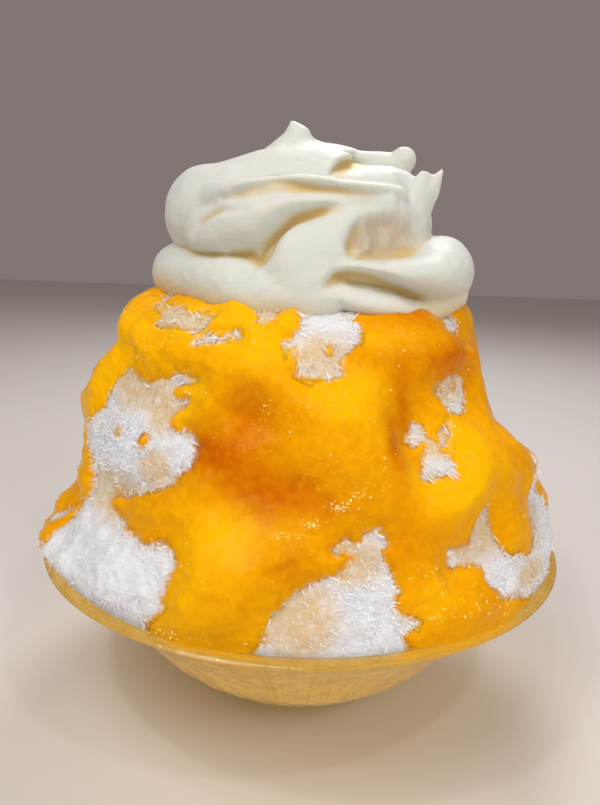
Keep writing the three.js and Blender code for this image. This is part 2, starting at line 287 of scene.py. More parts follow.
outline = bowl_outline()
bpy.ops.mesh.primitive_circle_add(
    vertices=BOWL_SIDES, radius=outline[0][0] * MM, fill_type="NGON", location=(0, 0, outline[0][1] * MM)
)
bowl = added("bowl_glass")
bpy.ops.object.transform_apply(location=True)
bpy.ops.object.mode_set(mode="EDIT")
for (near, low), (far, high) in zip(outline, outline[1:]):
    rise = {"value": (0, 0, (high - low) * MM)}
    bpy.ops.mesh.extrude_region_move(TRANSFORM_OT_translate=rise)
    bpy.ops.transform.resize(value=(far / near, far / near, 1), center_override=(0, 0, high * MM))
bpy.ops.object.mode_set(mode="OBJECT")
edit(bpy.ops.mesh.normals_make_consistent, inside=False)
points = places(bowl)
outwards = points * (1, 1, 0) / np.maximum(np.hypot(points[:, 0], points[:, 1]), 1)[:, None]
place(bowl, points + outwards * crinkles(points)[:, None])
bpy.ops.object.shade_smooth()

glass = Finish("clear_glass", base_color=CLEAR_GLASS, roughness=0.03, transmission_weight=1.0, ior=1.5)
ripple = glass.noise(2.2, detail=1) * 0.2 + glass.noise(6, detail=1)
ripple = ripple + glass.noise(30, spot=glass.around()) * 1.4
glass.bump(ripple, PRESSED_GLASS_BUMP)
glass.on(bowl)
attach(bowl, "root")
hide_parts("glass_bowl")

# -------------------- heap of shaved ice
# Ice shaved from a block in thin curls and heaped up as it falls: a solid white core here, with swells,
# hollows and small crags. It fills the bowl to the glass, where the syrup has run down into it.

# Radius and height of the heap's mean outline, from the rim up.
HEAP = [
    (RIM_RADIUS - 2.5, BOWL_HEIGHT + 0.7), (71.6, 51.5), (68, 60), (63.5, 70), (60, 80), (54.5, 90),
    (50, 100), (47, 108), (43, 113.5), (32, 116.8), (2, 118),
]
ICE_TOP = HEAP[-1][1]
# Spots on the heap are given as azimuth, height, half-width and half-height.
# Swells and hollows, and how far they rise.
SWELLS = [
    (-164, 91, 16, 6.5, 3.6), (-171, 82.5, 20, 4.5, 3), (-171, 100, 20, 6, 1.6), (-168, 108, 14, 5, 3),
    (-171, 61.5, 20, 8, -6.8), (-156, 49, 22, 6, 4.8), (-135, 84, 14, 9, 1.8), (-133, 68, 10, 7, -3),
    (-126, 55, 14, 8, 3), (-112, 103, 20, 7, 2), (-104, 61, 12, 9, 3.6), (-101, 93, 7, 5, -2),
    (-96, 79, 13, 6, -3), (-80, 94, 11, 12, 3.6), (-76, 62, 8, 9, -2), (-65, 94, 7, 20, -2.8),
    (-50, 80, 11, 10, 2.6), (-52, 64, 12, 6, -2.6), (-48, 106, 12, 6, 2.4), (-12, 100, 18, 14, -5),
    (-1, 83.5, 25, 6.5, -8.5), (-27, 79, 10, 7.5, 5.6), (-14, 73.5, 14, 5, 2.6), (12, 78, 14, 7, -4.5),
    (-8, 103, 18, 5, 1.4), (-8, 67, 18, 6, 1), (-9, 57, 18, 5, 2), (-30, 54, 18, 6, 1), (40, 66, 14, 9, 2),
    (48, 96, 14, 10, -3), (62, 62, 16, 10, 2.6), (88, 86, 16, 12, 3), (118, 66, 14, 12, -3),
    (132, 94, 15, 9, 2.8), (165, 70, 16, 9, 2.4),
]
# Outlines of the patches that the sauce leaves bare, as azimuth and height.
PATCHES = {
    "left": [(-172, 45), (-168, 49), (-152, 51), (-154, 57), (-149, 64), (-147, 68), (-147, 71), (-147, 74),
        (-154, 75), (-166, 75), (-165, 79), (-156, 82), (-152, 87), (-152, 91), (-150, 95), (-148, 98.5),
        (-144, 96), (-139, 96), (-132, 97), (-126, 99), (-119, 99), (-123, 97), (-127, 96), (-125, 94),
        (-121, 94), (-124, 90), (-122, 88), (-119, 88), (-115, 86), (-115, 83), (-116, 80), (-120, 77),
        (-124, 74), (-133, 71), (-139, 69), (-137, 67), (-129, 65), (-125, 64), (-121, 64), (-117, 64),
        (-114, 63), (-113, 60), (-114, 55), (-114, 52), (-117, 50), (-118, 46), (-118, 43), (-150, 43)],
    "left streak": [(-158, 62), (-163, 57), (-166, 52), (-162, 53), (-158, 58), (-155, 62)],
    "front": [(-95, 52), (-92, 57), (-87, 61), (-83, 63), (-81, 65), (-79, 66), (-84, 67), (-82, 69),
        (-78, 68.5), (-77, 70.5), (-74, 70), (-73, 68), (-74, 66), (-72, 62), (-71, 59), (-72, 57),
        (-71, 54), (-69, 52), (-71, 50), (-71, 46), (-75, 43), (-95, 43)],
    "right": [(-59, 61), (-58, 64), (-52, 64), (-49, 70), (-46, 72), (-45, 67), (-44, 61), (-39, 58),
        (-34, 57), (-30, 60), (-28, 66), (-22, 73), (-14, 66), (-8, 58), (-10, 50), (-20, 45), (-32, 47),
        (-44, 50), (-50, 54), (-52, 57), (-51, 59), (-56, 61)],
    "right edge": [(-26, 76), (-18, 74), (-12, 80), (-14, 88), (-20, 87), (-24, 82)],
    "right top": [(-54, 98), (-51, 100), (-45, 99.5), (-40, 99), (-40, 97), (-43, 94), (-46, 92.5),
        (-50, 93), (-52, 95)],
    "right flake": [(-63, 80), (-61, 85), (-59, 88), (-57, 87), (-55, 89), (-52, 91), (-53, 88), (-55, 86),
        (-57, 85), (-56, 83), (-57, 81)],
    "small right flake": [(-64, 89), (-61, 92), (-59, 89), (-62, 87.5)],
    "right corner": [(-42, 111), (-36, 113.5), (-32, 113), (-37, 110.5)],
    "under the cream": [(-92, 119), (-91, 113), (-93, 111), (-94, 110), (-96, 109), (-96, 107), (-93, 106),
        (-92, 104), (-91, 102), (-85, 101), (-81, 102), (-82, 104), (-81, 106), (-78, 108), (-75, 110),
        (-76, 114), (-77, 119)],
    "left shoulder": [(-148, 113), (-143, 112), (-142, 109), (-135, 110), (-129, 110), (-124, 109),
        (-121, 111), (-122, 113), (-127, 113.5), (-132, 113), (-141, 113.5)],
    "left corner": [(-166, 117), (-154, 115.5), (-150, 113), (-157, 113.5)],
    "sliver": [(-108, 114.5), (-102, 113), (-99, 115), (-96, 117.5), (-101, 116.5)],
    "shoulder flake": [(-122, 106), (-121, 108.4), (-114, 109.4), (-110, 109.6), (-114, 107.8), (-119, 107)],
}
# Bare spots round the back.
BACK_PATCHES = [
    (24, 88, 15, 9), (40, 55, 20, 10), (78, 70, 11, 9), (96, 102, 13, 7), (104, 54, 20, 10),
    (140, 78, 13, 10), (160, 54, 16, 9), (176, 98, 10, 7),
]
# Drops of sauce left standing on the bare ice: azimuth, height and half-width.
DROPS = [
    (-139, 84, 1.3), (-129, 84, 1.7), (-137, 68, 1.2), (-136, 71, 0.9), (-84, 107, 0.9), (-46, 98, 1),
    (-52, 98, 0.8),
]
# Ice that the melt has soaked until it is clear and warm in colour.
SOAKED = [
    (-136, 70, 14, 6), (-140, 94, 18, 5), (-126, 91, 6, 5), (-124, 79, 5, 4), (-90, 54, 9, 9),
    (-80, 65, 8, 5), (-50, 67, 10, 7), (-50, 98, 9, 4), (-86, 106, 7, 5), (-138, 112, 26, 5),
    (-104, 114, 9, 3), (-26, 82, 10, 7), (-57, 87, 5, 4), (-32, 63, 12, 7), (-158, 57, 7, 7),
    (-37, 53, 8, 3), (100, 106, 14, 4), (48, 60, 9, 6), (150, 60, 10, 6),
]
# Where the ice lies loose in shards, not packed.
LOOSE = [
    (-126, 76, 14, 7), (-144, 84, 9, 7), (-76, 57, 9, 10), (-36, 60, 14, 9), (-56, 86, 6, 5),
    (-16, 74, 8, 10), (60, 70, 40, 14), (140, 80, 30, 12),
]
# Where the sauce is painted deep and dark, or thin and bright, and how much: partly how thick it stands,
# partly painted shade in its hollows and painted light on its swells and its left side.
TONES_AND_SHADE = [
    (-97, 78, 11, 6, 1), (-102, 93, 8, 6, 0.8), (-114, 85, 5, 6, 0.7), (-107, 84, 6, 5, 0.6),
    (-61, 114, 9, 3, 0.9), (-48, 104, 14, 5, 0.75), (-65, 96, 2.6, 8, 0.9), (-70, 87, 2.6, 7, 0.8),
    (-76, 106, 7, 4, 0.35), (-92, 64, 6, 4, 0.45), (-68, 68, 6, 6, 0.5), (-84, 76, 5, 3, 0.4),
    (-117, 60, 4, 8, 0.2), (-81, 97, 10, 8, -0.5), (-57, 78, 11, 8, -0.5), (-102, 109, 14, 6, -0.6),
    (-67, 110, 6, 5, -0.4), (-104, 69, 9, 8, -0.6), (-123, 112, 12, 4, -0.6), (-65, 57, 6, 5, -0.3),
    (-109, 54, 7, 8, -0.4), (-118, 93, 8, 5, -0.6), (-88, 50, 8, 8, -0.3), (-165, 88, 14, 18, -0.7),
    (-145, 62, 8, 8, -0.3), (-52, 88, 8, 6, -0.4), (150, 90, 20, 14, -0.4), (70, 84, 20, 14, 0.5),
    (-150, 104, 20, 8, -0.4), (5, 84, 22, 12, 0.3), (110, 74, 14, 10, 0.4),
]
POUR_HOLLOW = 31  # radius of the ice that the sauce leaves bare under the cream
RAGGED = 1.0  # how far the edge of the sauce wanders
IN_GLASS = 0.14  # share of the rings that stand in the glass
FRONT_CLOSER = 0.35  # how much closer the facets are at the front
TOP_RINGS, TOP_OUTLINE = 0.93, 0.84  # shares of the rings and of the outline where the flat top begins
BACK_LUMPS = 2.6  # rise of the lumps round the back
OVER_RIM = 5  # height over which the heap's unevenness grows in above the rim


def step(value, low, high):
    t = np.clip((value - low) / (high - low), 0, 1)
    return t * t * (3 - 2 * t)


def turned(azimuth, start):
    """The turn from start to azimuth, from -180 to 180 degrees."""
    return (azimuth - start + 540) % 360 - 180


def distance(form, azimuth, radius, height):
    """How far each spot lies from the middle of a form, in half-widths of that form."""
    u = np.radians(turned(azimuth, form[0])) * radius
    return np.hypot(u / form[2], (height - form[1]) / form[3])


def outside(outline, azimuth, radius, height):
    """How far each spot lies outside a patch, in millimetres; below 0 it is inside."""
    count = len(outline)
    corners = np.array([outline[i % count] for i in range(-1, count + 2)], float)
    ring = smooth_through(corners, np.linspace(1, count + 1, 3 * count + 1) / (count + 2))[0]
    u = np.radians(turned(ring[:, 0], azimuth[:, None])) * radius[:, None]
    v = ring[:, 1] - height[:, None]
    du, dv = np.diff(u), np.diff(v)
    u, v = u[:, :-1], v[:, :-1]
    nearest = np.clip(-(u * du + v * dv) / (du * du + dv * dv), 0, 1)
    gap = np.hypot(u + nearest * du, v + nearest * dv).min(1)
    crossed = ((v > 0) != (v + dv > 0)) & (u - v * du / np.where(dv == 0, 1, dv) > 0)
    return np.where(crossed.sum(1) % 2 == 1, -gap, gap)


def round_points(azimuth, radius, height):
    turn = np.radians(azimuth)
    return np.stack([radius * np.cos(turn), radius * np.sin(turn), height], -1)


def heap_line(share):
    """Radius and height of the heap's mean outline from the rim (0) to its top (1), and its outward side."""
    point, ahead = smooth_through(HEAP, share)
    return point, np.stack([ahead[..., 1], -ahead[..., 0]], -1)


def summed(forms, *spot):
    """Soft bumps added up, each as high in the middle as its last number says."""
    total = np.zeros_like(spot[0])
    for *form, most in forms:
        total += most * np.exp(-distance(form, *spot) ** 2)
    return total


def ice_rise(azimuth, radius, height):
    """How far the swells lift the ice off its mean outline."""
    rise = summed(SWELLS, azimuth, radius, height)
    behind = step(np.abs(turned(azimuth, -90)), 100, 135)
    rise += BACK_LUMPS * behind * grain(round_points(azimuth, radius, height), (19, 19, 13), 3.7)
    over_rim = step(height, BOWL_HEIGHT, BOWL_HEIGHT + OVER_RIM)
    return rise * over_rim * (1 - step(height, ICE_TOP - 6, ICE_TOP - 1))


def clear_of_bare(azimuth, radius, height):
    """How far a spot lies outside the bare ice, in millimetres; below 0 it is bare."""
    clear = radius - POUR_HOLLOW
    spot = round_points(azimuth, radius, height)
    for outline in PATCHES.values():
        near = np.abs(turned(azimuth, np.mean(outline, 0)[0])) < 75
        gap = outside(outline, azimuth[near], radius[near], height[near])
        clear[near] = np.minimum(clear[near], gap)
    for form in BACK_PATCHES:
        gap = distance(form, azimuth, radius, height) - 1
        frayed = gap + 0.5 * grain(spot, 10, 8.3) + 0.3 * grain(spot, 4, 1.1)
        clear = np.minimum(clear, frayed * min(form[2:]))
    clear += RAGGED * (grain(spot, 6.5, 2.1) + 0.7 * grain(spot, 2.4, 5.7) + 0.5 * grain(spot, 1.3, 7.7))
    for *middle, size in DROPS:
        clear = np.maximum(clear, size - distance((*middle, 1, 1), azimuth, radius, height))
    return clear


def soaked(clear, *spot):
    """How wet the ice is, from 0 to 1: in the soaked spots, and close to the sauce."""
    wet = 0.45 * step(clear, -1.5, 0.5)
    for form in SOAKED:
        wet = np.maximum(wet, np.exp(-distance(form, *spot) ** 4))
    return wet


def sheet(name, around, along):
    """A flat sheet to be rolled into a closed form, and each vertex's place across it, 0 to 1 both ways."""
    bpy.ops.mesh.primitive_grid_add(x_subdivisions=around, y_subdivisions=along, size=2 * MM)
    piece = added(name)
    flat = places(piece)
    return piece, (flat[:, 0] + 1) / 2, (flat[:, 1] + 1) / 2


def roll_up(piece, points):
    """Moves the sheet's vertices to these points, and welds its seam and its two ends shut."""
    place(piece, points)
    edit(bpy.ops.mesh.remove_doubles, threshold=0.001 * MM)
    bpy.ops.object.shade_smooth()


def wear(piece, name, values):
    """Writes a value at each vertex for the material to read."""
    piece.data.attributes.new(name, "FLOAT", "POINT").data.foreach_set("value", values.astype(np.float32))


def heap_piece(name, around, along, deep, laid, worn=()):
    """A sheet rolled into the heap's shape, deep millimetres inside the bowl's wall.

    laid gives how much lies on the mean outline at each spot, and worn lists values to write there.
    """
    piece, across, up = sheet(name, around, along)
    turn = 2 * math.pi * across
    azimuth = np.degrees(turn - FRONT_CLOSER * np.cos(turn))
    inside = inner_wall(np.linspace(0, 1, 9), GLASS + deep)
    inside[-1] = RIM_RADIUS - LIP_WIDTH - 0.9 - deep, BOWL_HEIGHT - 1.2
    low = smooth_through([(0, inside[0, 1]), (18, inside[0, 1]), *inside], np.clip(up / IN_GLASS, 0, 1))[0]
    line, side = heap_line(np.interp(up, [IN_GLASS, TOP_RINGS, 1], [0, TOP_OUTLINE, 1]))
    free = line + side * laid(azimuth, *line.T)[:, None]
    in_glass = (up <= IN_GLASS)[:, None]
    mean = np.where(in_glass, low, line)
    final = np.where(in_glass, low, free)
    final[(up < 1e-4) | (up > 1 - 1e-4), 0] = 0
    final[up > 1 - 1e-4, 1] = ICE_TOP
    for label, value in worn:
        wear(piece, label, value(azimuth, *mean.T))
    roll_up(piece, round_points(azimuth, *final.T))
    return piece


def craggy_ice(azimuth, radius, height):
    spot = round_points(azimuth, radius, height)
    clear = clear_of_bare(azimuth, radius, height)
    wet = soaked(clear, azimuth, radius, height)
    crags = 0.9 * grain(spot, 9) + 0.8 * grain(spot, 3.6, 3.3) + 0.8 * np.abs(grain(spot, 1.7, 8.1)) - 0.1
    crags = np.maximum(crags, -0.6)
    bare = 1 - 0.9 * step(clear, 1.5, 5)
    over_rim = step(height, BOWL_HEIGHT, BOWL_HEIGHT + OVER_RIM)
    rough = bare * (1 - 0.6 * wet) * over_rim * (1 - 0.7 * step(height, ICE_TOP - 7, ICE_TOP - 4))
    return ice_rise(azimuth, radius, height) + crags * rough


def wetness(*spot):
    return soaked(clear_of_bare(*spot), *spot)


def tone_and_shade(*spot):
    """How deep and dark the sauce is painted at each spot, below 0 where thin and bright; partly painted
    shade.
    """
    return summed(TONES_AND_SHADE, *spot)


def stain(azimuth, radius, height):
    """How much sauce has run down between the ice and the glass."""
    at_rim = np.full_like(radius, RIM_RADIUS - 6), np.full_like(height, BOWL_HEIGHT + 3)
    above = clear_of_bare(azimuth, *at_rim)
    low = step(height, BOWL_HEIGHT - 12, BOWL_HEIGHT - 3)
    return step(above, -1, 3) * low * (1 - step(height, 50, 53))


def syrup_and_glow(azimuth, radius, height):
    """Where the ice takes its syrup colour, painted reflection and painted glow: all in the bowl, none above
    the rim.
    """
    return 1 - step(height, BOWL_HEIGHT - 2, BOWL_HEIGHT + 1.5)


SKIN_WEAR = [("wet", wetness), ("clear", clear_of_bare), ("tone_and_shade", tone_and_shade)]
HEAP_WEAR = [*SKIN_WEAR, ("syrup_and_glow", syrup_and_glow), ("stain", stain)]
INTO_GLASS = -0.15  # the ice reaches just into the wall of the bowl
heap = heap_piece("ice_heap", 430, 226, INTO_GLASS, craggy_ice, HEAP_WEAR)

ICE_WHITE = (0.82, 0.85, 0.91)
ICE_CLEAR = (0.80, 0.74, 0.67)
ICE_WET = (0.75, 0.585, 0.36)
# Colours of the ice in the glass: partly the syrup, partly a painted golden reflection in the glass.
PALE_SYRUP_AND_REFLECTION = (0.96, 0.66, 0.17)
GOLD_SYRUP_AND_REFLECTION = (0.70, 0.40, 0.04)
# Emission colour where sauce stains the ice in the glass: a painted glow.
STAIN_PAINTED_GLOW = (1.35, 0.66, 0.02)
SAUCE_STAIN = (0.96, 0.52, 0.03)
# Sauce from thin and bright to thick and dark: partly its depth, partly painted light and painted shade.
THIN_AND_LIT_SAUCE = (0.98, 0.485, 0.002)
THICK_AND_SHADED_SAUCE = (0.57, 0.116, 0.001)
PULP = (1.0, 0.66, 0.03)


def ice_and_sauce(finish):
    """The colours of bare ice and of sauce, which soak into one another along the sauce's edge."""
    wet = (finish.worn("wet") * (0.1 + finish.noise(2.4, detail=4) * 1.8)).blend(ICE_WHITE, ICE_WET)
    bare = (finish.noise(2.6, detail=4).between(0.5, 0.75) * 0.5).blend(wet, ICE_CLEAR)
    mottled = (finish.noise(7, detail=3) - 0.5) * 0.5 + (finish.noise(2, detail=4) - 0.5) * 0.45
    # The sauce runs from thin to thick colour with its depth, with painted shade in its hollows and painted
    # light on its swells.
    sauce = (0.3 + finish.worn("tone_and_shade") * 0.66 + mottled).blend(THIN_AND_LIT_SAUCE, THICK_AND_SHADED_SAUCE)
    flecks = finish.noise(0.8, detail=1).between(0.6, 0.74) * finish.noise(8).between(0.45, 0.65)
    sauce = (flecks * 0.35).blend(sauce, PULP)
    edge = finish.worn("clear") + (finish.noise(1.3, detail=3) - 0.5) * 3.5
    return edge.between(-0.9, 0.9).blend(bare, sauce)


# Its emission is a painted glow, given an emission colour only inside the glass.
ice = Finish(
    "shaved_ice", roughness=0.3, ior=1.31, specular_ior_level=0.3, subsurface_weight=0.9,
    subsurface_radius=(1, 1, 1.1), subsurface_scale=4 * MM, emission_strength=0.3,
)
# The ice in the glass is painted gold in streaks: partly syrup, partly a painted golden reflection in the
# pressed glass, with the sauce's stain over it.
streaks = ice.noise(26, detail=4, spot=ice.around()) * 0.5 + ice.noise(4, detail=3) * 0.5
syrup_and_reflection = streaks.between(0.28, 0.72).blend(PALE_SYRUP_AND_REFLECTION, GOLD_SYRUP_AND_REFLECTION)
stain_and_reflection = (ice.worn("stain") * (0.2 + ice.noise(3) * 1.6)).blend(syrup_and_reflection, SAUCE_STAIN)
ice.feed("Base Color", ice.worn("syrup_and_glow").blend(ice_and_sauce(ice), stain_and_reflection))
# The same colours feed the emission: a painted glow that stands in for the light the glass keeps from the
# ice, brightest where the sauce stains it.
painted_glow = ice.worn("stain").blend(stain_and_reflection, STAIN_PAINTED_GLOW)
ice.feed("Emission Color", ice.worn("syrup_and_glow").blend((0, 0, 0), painted_glow))
leaning = ice.noise(0.9, detail=2, spot=ice.stretched((1, 1, 0.3), (0.5, 0.9, 0)))
fallen = ice.noise(0.9, detail=2, spot=ice.stretched((0.3, 1, 1), (0, 0.4, 0.5)))
ice.bump(leaning + fallen + ice.noise(2, detail=3) * 2, 0.4)
ice.on(heap)
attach(heap, "root")
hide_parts("shaved_ice")

# -------------------- ice shavings
# The loose ice on the bare patches: combs of parallel strands as the blade shaves them off, splinters that
# lie fanned over one another, and fine crumbs. Each kind is one joined mesh.

draws = np.random.default_rng(7)
SAUCE_DEPTH = 3
CANDIDATES = 24  # spots drawn for each crystal that is wanted
ANYWHERE = 99  # further in from the sauce than any bare spot


def bare_spots(count, inside, dry, within=ANYWHERE):
    """Random spots on the bare ice, inside to within millimetres in from the sauce, fewer where it is wet.

    Gives each spot's place, its outward direction, the way the shavings lie there, and how wet it is. Close
    to the sauce they point over its edge.
    """
    tries = CANDIDATES * count
    at_edge = within < ANYWHERE
    azimuth = draws.uniform(-180, 180, tries)
    share = draws.uniform(0.04, 0.88, tries)
    line, side = heap_line(share)
    clear = clear_of_bare(azimuth, *line.T)
    wet = soaked(clear, azimuth, *line.T)
    keep = (clear < -inside) & (clear > -within) & (line[:, 0] > POUR_HOLLOW + 5)
    keep &= draws.random(tries) > dry * wet
    keep &= (line[:, 1] > BOWL_HEIGHT + 5) | (not at_edge)
    loose = 0.13 + 0.25 * at_edge + 0.25 * step(clear, -2.5, -0.5)
    for form in LOOSE:
        loose += np.exp(-distance(form, azimuth, *line.T) ** 2)
    keep &= draws.random(tries) < loose
    azimuth, line, side, clear, wet = (each[keep][:count] for each in (azimuth, line, side, clear, wet))
    turn = np.degrees(1 / line[:, 0])
    beside = [clear_of_bare(azimuth + way * turn, *line.T) for way in (1, -1)]
    higher = [clear_of_bare(azimuth, line[:, 0], line[:, 1] + way) for way in (1, -1)]
    lift = craggy_ice(azimuth, *line.T) + 0.5 * SAUCE_DEPTH * step(clear, -1, 1)
    line = line + side * lift[:, None]
    base = round_points(azimuth, *line.T)
    out = round_points(azimuth, *side.T)
    across = round_points(azimuth + 90, np.ones(len(azimuth)), np.zeros(len(azimuth)))
    up = np.cross(out, across)
    lie = np.radians(-25) + 1.3 * grain(base, 15, 4.4)
    way = across * np.cos(lie)[:, None] + up * np.sin(lie)[:, None]
    if at_edge:
        way = 0.25 * way + across * (beside[0] - beside[1])[:, None]
        way = unit(way + up * (higher[0] - higher[1])[:, None])
    return base, out, way, wet


def lying(ahead, out):
    """Axes with x ahead, y across and z out, square to one another."""
    ahead = unit(ahead)
    across = unit(np.cross(out, ahead))
    return np.stack([ahead, across, np.cross(ahead, across)], 1)


def joined(name, forms, faces, base, axes, wet):
    """One mesh of many small forms, each with its own place, axes and wetness."""
    points = base[:, None] + np.einsum("nvk,nkj->nvj", forms, axes)
    count = forms.shape[1]
    mesh = bpy.data.meshes.new(name)
    index = np.asarray(faces)[None] + count * np.arange(len(base))[:, None, None]
    mesh.from_pydata((points.reshape(-1, 3) * MM).tolist(), [], index.reshape(-1, len(faces[0])).tolist())
    piece = bpy.data.objects.new(name, mesh)
    bpy.context.scene.collection.objects.link(piece)
    wear(piece, "wet", np.repeat(wet, count))
    return piece


COMBS = 460
STRANDS = 7
BENDS = 3
COMB_LENGTH = 1, 3.8
STRAND_WIDTH = 0.15
base, out, way, wet = bare_spots(COMBS, 0.3, 0.7, 3.5)
count = len(base)
length = draws.uniform(*COMB_LENGTH, (count, 1, 1)) * draws.uniform(0.6, 1, (count, STRANDS, 1))
breadth = draws.uniform(0.6, 1.4, (count, 1, 1))
lift = draws.uniform(-0.1, 0.2, (count, 1, 1))
fan = draws.uniform(-0.3, 0.9, (count, 1, 1))
along = np.linspace(0, 1, BENDS + 1)[None, None, :, None]
row = np.linspace(-1, 1, STRANDS)[None, :, None, None]
corner = np.array([(1, -0.3), (-1, -0.3), (0, 0.6)])
thin = STRAND_WIDTH * (1.05 - along**2)
x = along * length[..., None] + 0 * corner[:, 0]
y = breadth[..., None] * row * (1 + fan[..., None] * along) + thin * corner[:, 0]
bowed = (lift * length)[..., None] * along**2 + thin * corner[:, 1]
z = bowed + draws.normal(0, 0.12, (count, STRANDS, 1, 1)) * along
forms = np.stack([x, y + 0 * x, z + 0 * x], -1).reshape(count, -1, 3)
# Each strand is a three-sided rod: its corners i at each bend k, and the two triangles between them.
triangles = []
for k in range(0, 3 * BENDS, 3):
    for i, j in ((0, 1), (1, 2), (2, 0)):
        triangles += [(k + i, k + 3 + j, k + j), (k + i, k + 3 + i, k + 3 + j)]
triangles += [(0, 1, 2), (3 * BENDS + 2, 3 * BENDS + 1, 3 * BENDS)]
faces = [tuple(v + 3 * (BENDS + 1) * s for v in t) for s in range(STRANDS) for t in triangles]
ahead = way + 0.5 * draws.normal(0, 1, base.shape) + 0.1 * out * draws.random((count, 1))
axes = lying(ahead, out + 0.35 * draws.normal(0, 1, out.shape))
combs = joined("ice_combs", forms, faces, base - 0.35 * out, axes, wet)

octahedron = np.array([(-1, 0, 0), (-0.1, 1, 0), (0, 0, 1), (1, 0, 0), (0.1, -1, 0), (0, 0, -1)], float)
facets = [(0, 1, 5), (0, 2, 1), (0, 4, 2), (0, 5, 4), (3, 5, 1), (3, 1, 2), (3, 2, 4), (3, 4, 5)]


def scattered(name, count, inside, dry, sizes, stray, stand):
    """Many small crystals on the bare ice, of half-sizes between the two given."""
    base, out, way, wet = bare_spots(count, inside, dry)
    ahead = way + stray * draws.normal(0, 1, base.shape) + out * draws.uniform(0, stand, (len(base), 1))
    size = draws.uniform(*sizes, (len(base), 3))
    base = base + out * draws.uniform(-0.15, 0.1, (len(base), 1))
    return joined(name, octahedron[None] * size[:, None], facets, base, lying(ahead, out), wet)


SPLINTER_SIZES = (0.4, 0.08, 0.04), (2, 0.26, 0.09)
CRUMB_SIZES = (0.12, 0.1, 0.08), (0.45, 0.35, 0.25)
splinters = scattered("ice_splinters", 7000, 0.1, 0.6, SPLINTER_SIZES, 0.5, 0.15)
crumbs = scattered("ice_crumbs", 3600, -0.3, 0.8, CRUMB_SIZES, 1.5, 1)

CRYSTAL_DRY = (0.90, 0.93, 0.98)
CRYSTAL_DAMP = (0.86, 0.72, 0.51)
crystal = Finish("ice_crystal", roughness=0.2, ior=1.31, specular_ior_level=0.35)
damp = crystal.worn("wet") * 0.7 + crystal.noise(7).between(0.45, 0.8) * 0.5
crystal.feed("Base Color", damp.blend(CRYSTAL_DRY, CRYSTAL_DAMP))
for piece in (combs, splinters, crumbs):
    crystal.on(piece)
    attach(piece, "root")

# -------------------- mango sauce
# Ripe mango pulp, poured warm and thick from the top: it coats the ice as one skin, with rounded edges
# where it stops, and runs in slow tongues between the bare spots.

SAUCE_EDGE = 8  # how far in from its edge the sauce gains its full depth
UNDER_ICE = -1.6  # where the sauce's skin lies below the bare ice, out of sight
IN_FROM_GLASS, LINING_IN = 2, 0.4  # how deep inside the wall the sauce's skin and its lining stand


def sauce_depth(azimuth, radius, height):
    clear = clear_of_bare(azimuth, radius, height)
    spot = round_points(azimuth, radius, height)
    lumps = 1.3 * grain(spot * (1, 1, 0.8), 13, 1.7) + 0.5 * grain(spot, 5, 6.1)
    edge = 0.25 + 0.2 * grain(spot, 8, 9.4)
    full = (SAUCE_DEPTH + lumps) * (edge + (1 - edge) * step(clear, 0, SAUCE_EDGE))
    full = full * (0.4 + 0.6 * step(height, BOWL_HEIGHT, BOWL_HEIGHT + 9))
    return UNDER_ICE + (full - UNDER_ICE) * step(clear, -2, 2)


def poured(*spot):
    return ice_rise(*spot) + sauce_depth(*spot)


def under_sauce(*spot):
    return ice_rise(*spot) - 1.2


sauce = heap_piece("mango_sauce_skin", 430, 210, IN_FROM_GLASS, poured, SKIN_WEAR)
lining = heap_piece("lining", 160, 80, LINING_IN, under_sauce)
apply(sauce, "BOOLEAN", operation="DIFFERENCE", object=lining, solver="MANIFOLD")
bpy.data.objects.remove(lining)

# Air bubbles and grains of ice in the sauce, and their number.
SPECKS = [
    (-92, 70, 3, 0.7, 34), (-88, 72.5, 2, 0.8, 30), (-83, 76, 2.4, 1, 34), (-79, 78, 1.6, 1, 26),
    (-62, 53, 7, 2, 34), (-65, 60, 5, 4, 16), (-86, 93, 12, 7, 34), (-76, 84, 8, 8, 20),
    (-100, 108, 10, 7, 18), (-70, 106, 5, 6, 12), (-58, 84, 8, 8, 16), (-120, 97, 5, 4, 14),
    (-106, 67, 9, 9, 16), (-112, 48, 8, 1.6, 30), (-93, 48, 6, 1.6, 20), (-48, 51, 6, 2, 20),
    (-137, 104, 14, 7, 10),
]
EVERYWHERE = 150  # more of them, scattered over the whole heap
BEAD_SHAPE = (1.9, 1, 0.8)
specks = np.array([form[:4] for form in SPECKS for _ in range(form[4])], float)
spread = draws.normal(0, 0.6, (len(specks), 2))
height = np.concatenate([specks[:, 1] + specks[:, 3] * spread[:, 1], draws.uniform(50, 112, EVERYWHERE)])
radius = np.interp(height, [p[1] for p in HEAP], [p[0] for p in HEAP])
azimuth = specks[:, 0] + np.degrees(specks[:, 2] * spread[:, 0] / radius[: len(specks)])
azimuth = np.concatenate([azimuth, draws.uniform(-180, 180, EVERYWHERE)])
keep = (clear_of_bare(azimuth, radius, height) > 1.2) & (height > BOWL_HEIGHT + 1.5)
azimuth, radius, height = azimuth[keep], radius[keep], height[keep]
shares = np.linspace(0, 0.9, 200)
line, side = heap_line(np.interp(height, heap_line(shares)[0][:, 1], shares))
line = line + side * (poured(azimuth, *line.T)[:, None] - 0.04)
spots = round_points(azimuth, *line.T)
bpy.ops.mesh.primitive_ico_sphere_add(subdivisions=1, radius=MM)
bead = added("bead")
ball = places(bead)
ball_faces = [tuple(f.vertices) for f in bead.data.polygons]
bpy.data.objects.remove(bead)
size = 0.1 + 0.24 * draws.random((len(spots), 1, 1)) ** 3
turned_at_random = np.linalg.qr(draws.normal(0, 1, (len(spots), 3, 3)))[0]
turned_at_random *= np.sign(np.linalg.det(turned_at_random))[:, None, None]
beads = ball[None] * size * BEAD_SHAPE
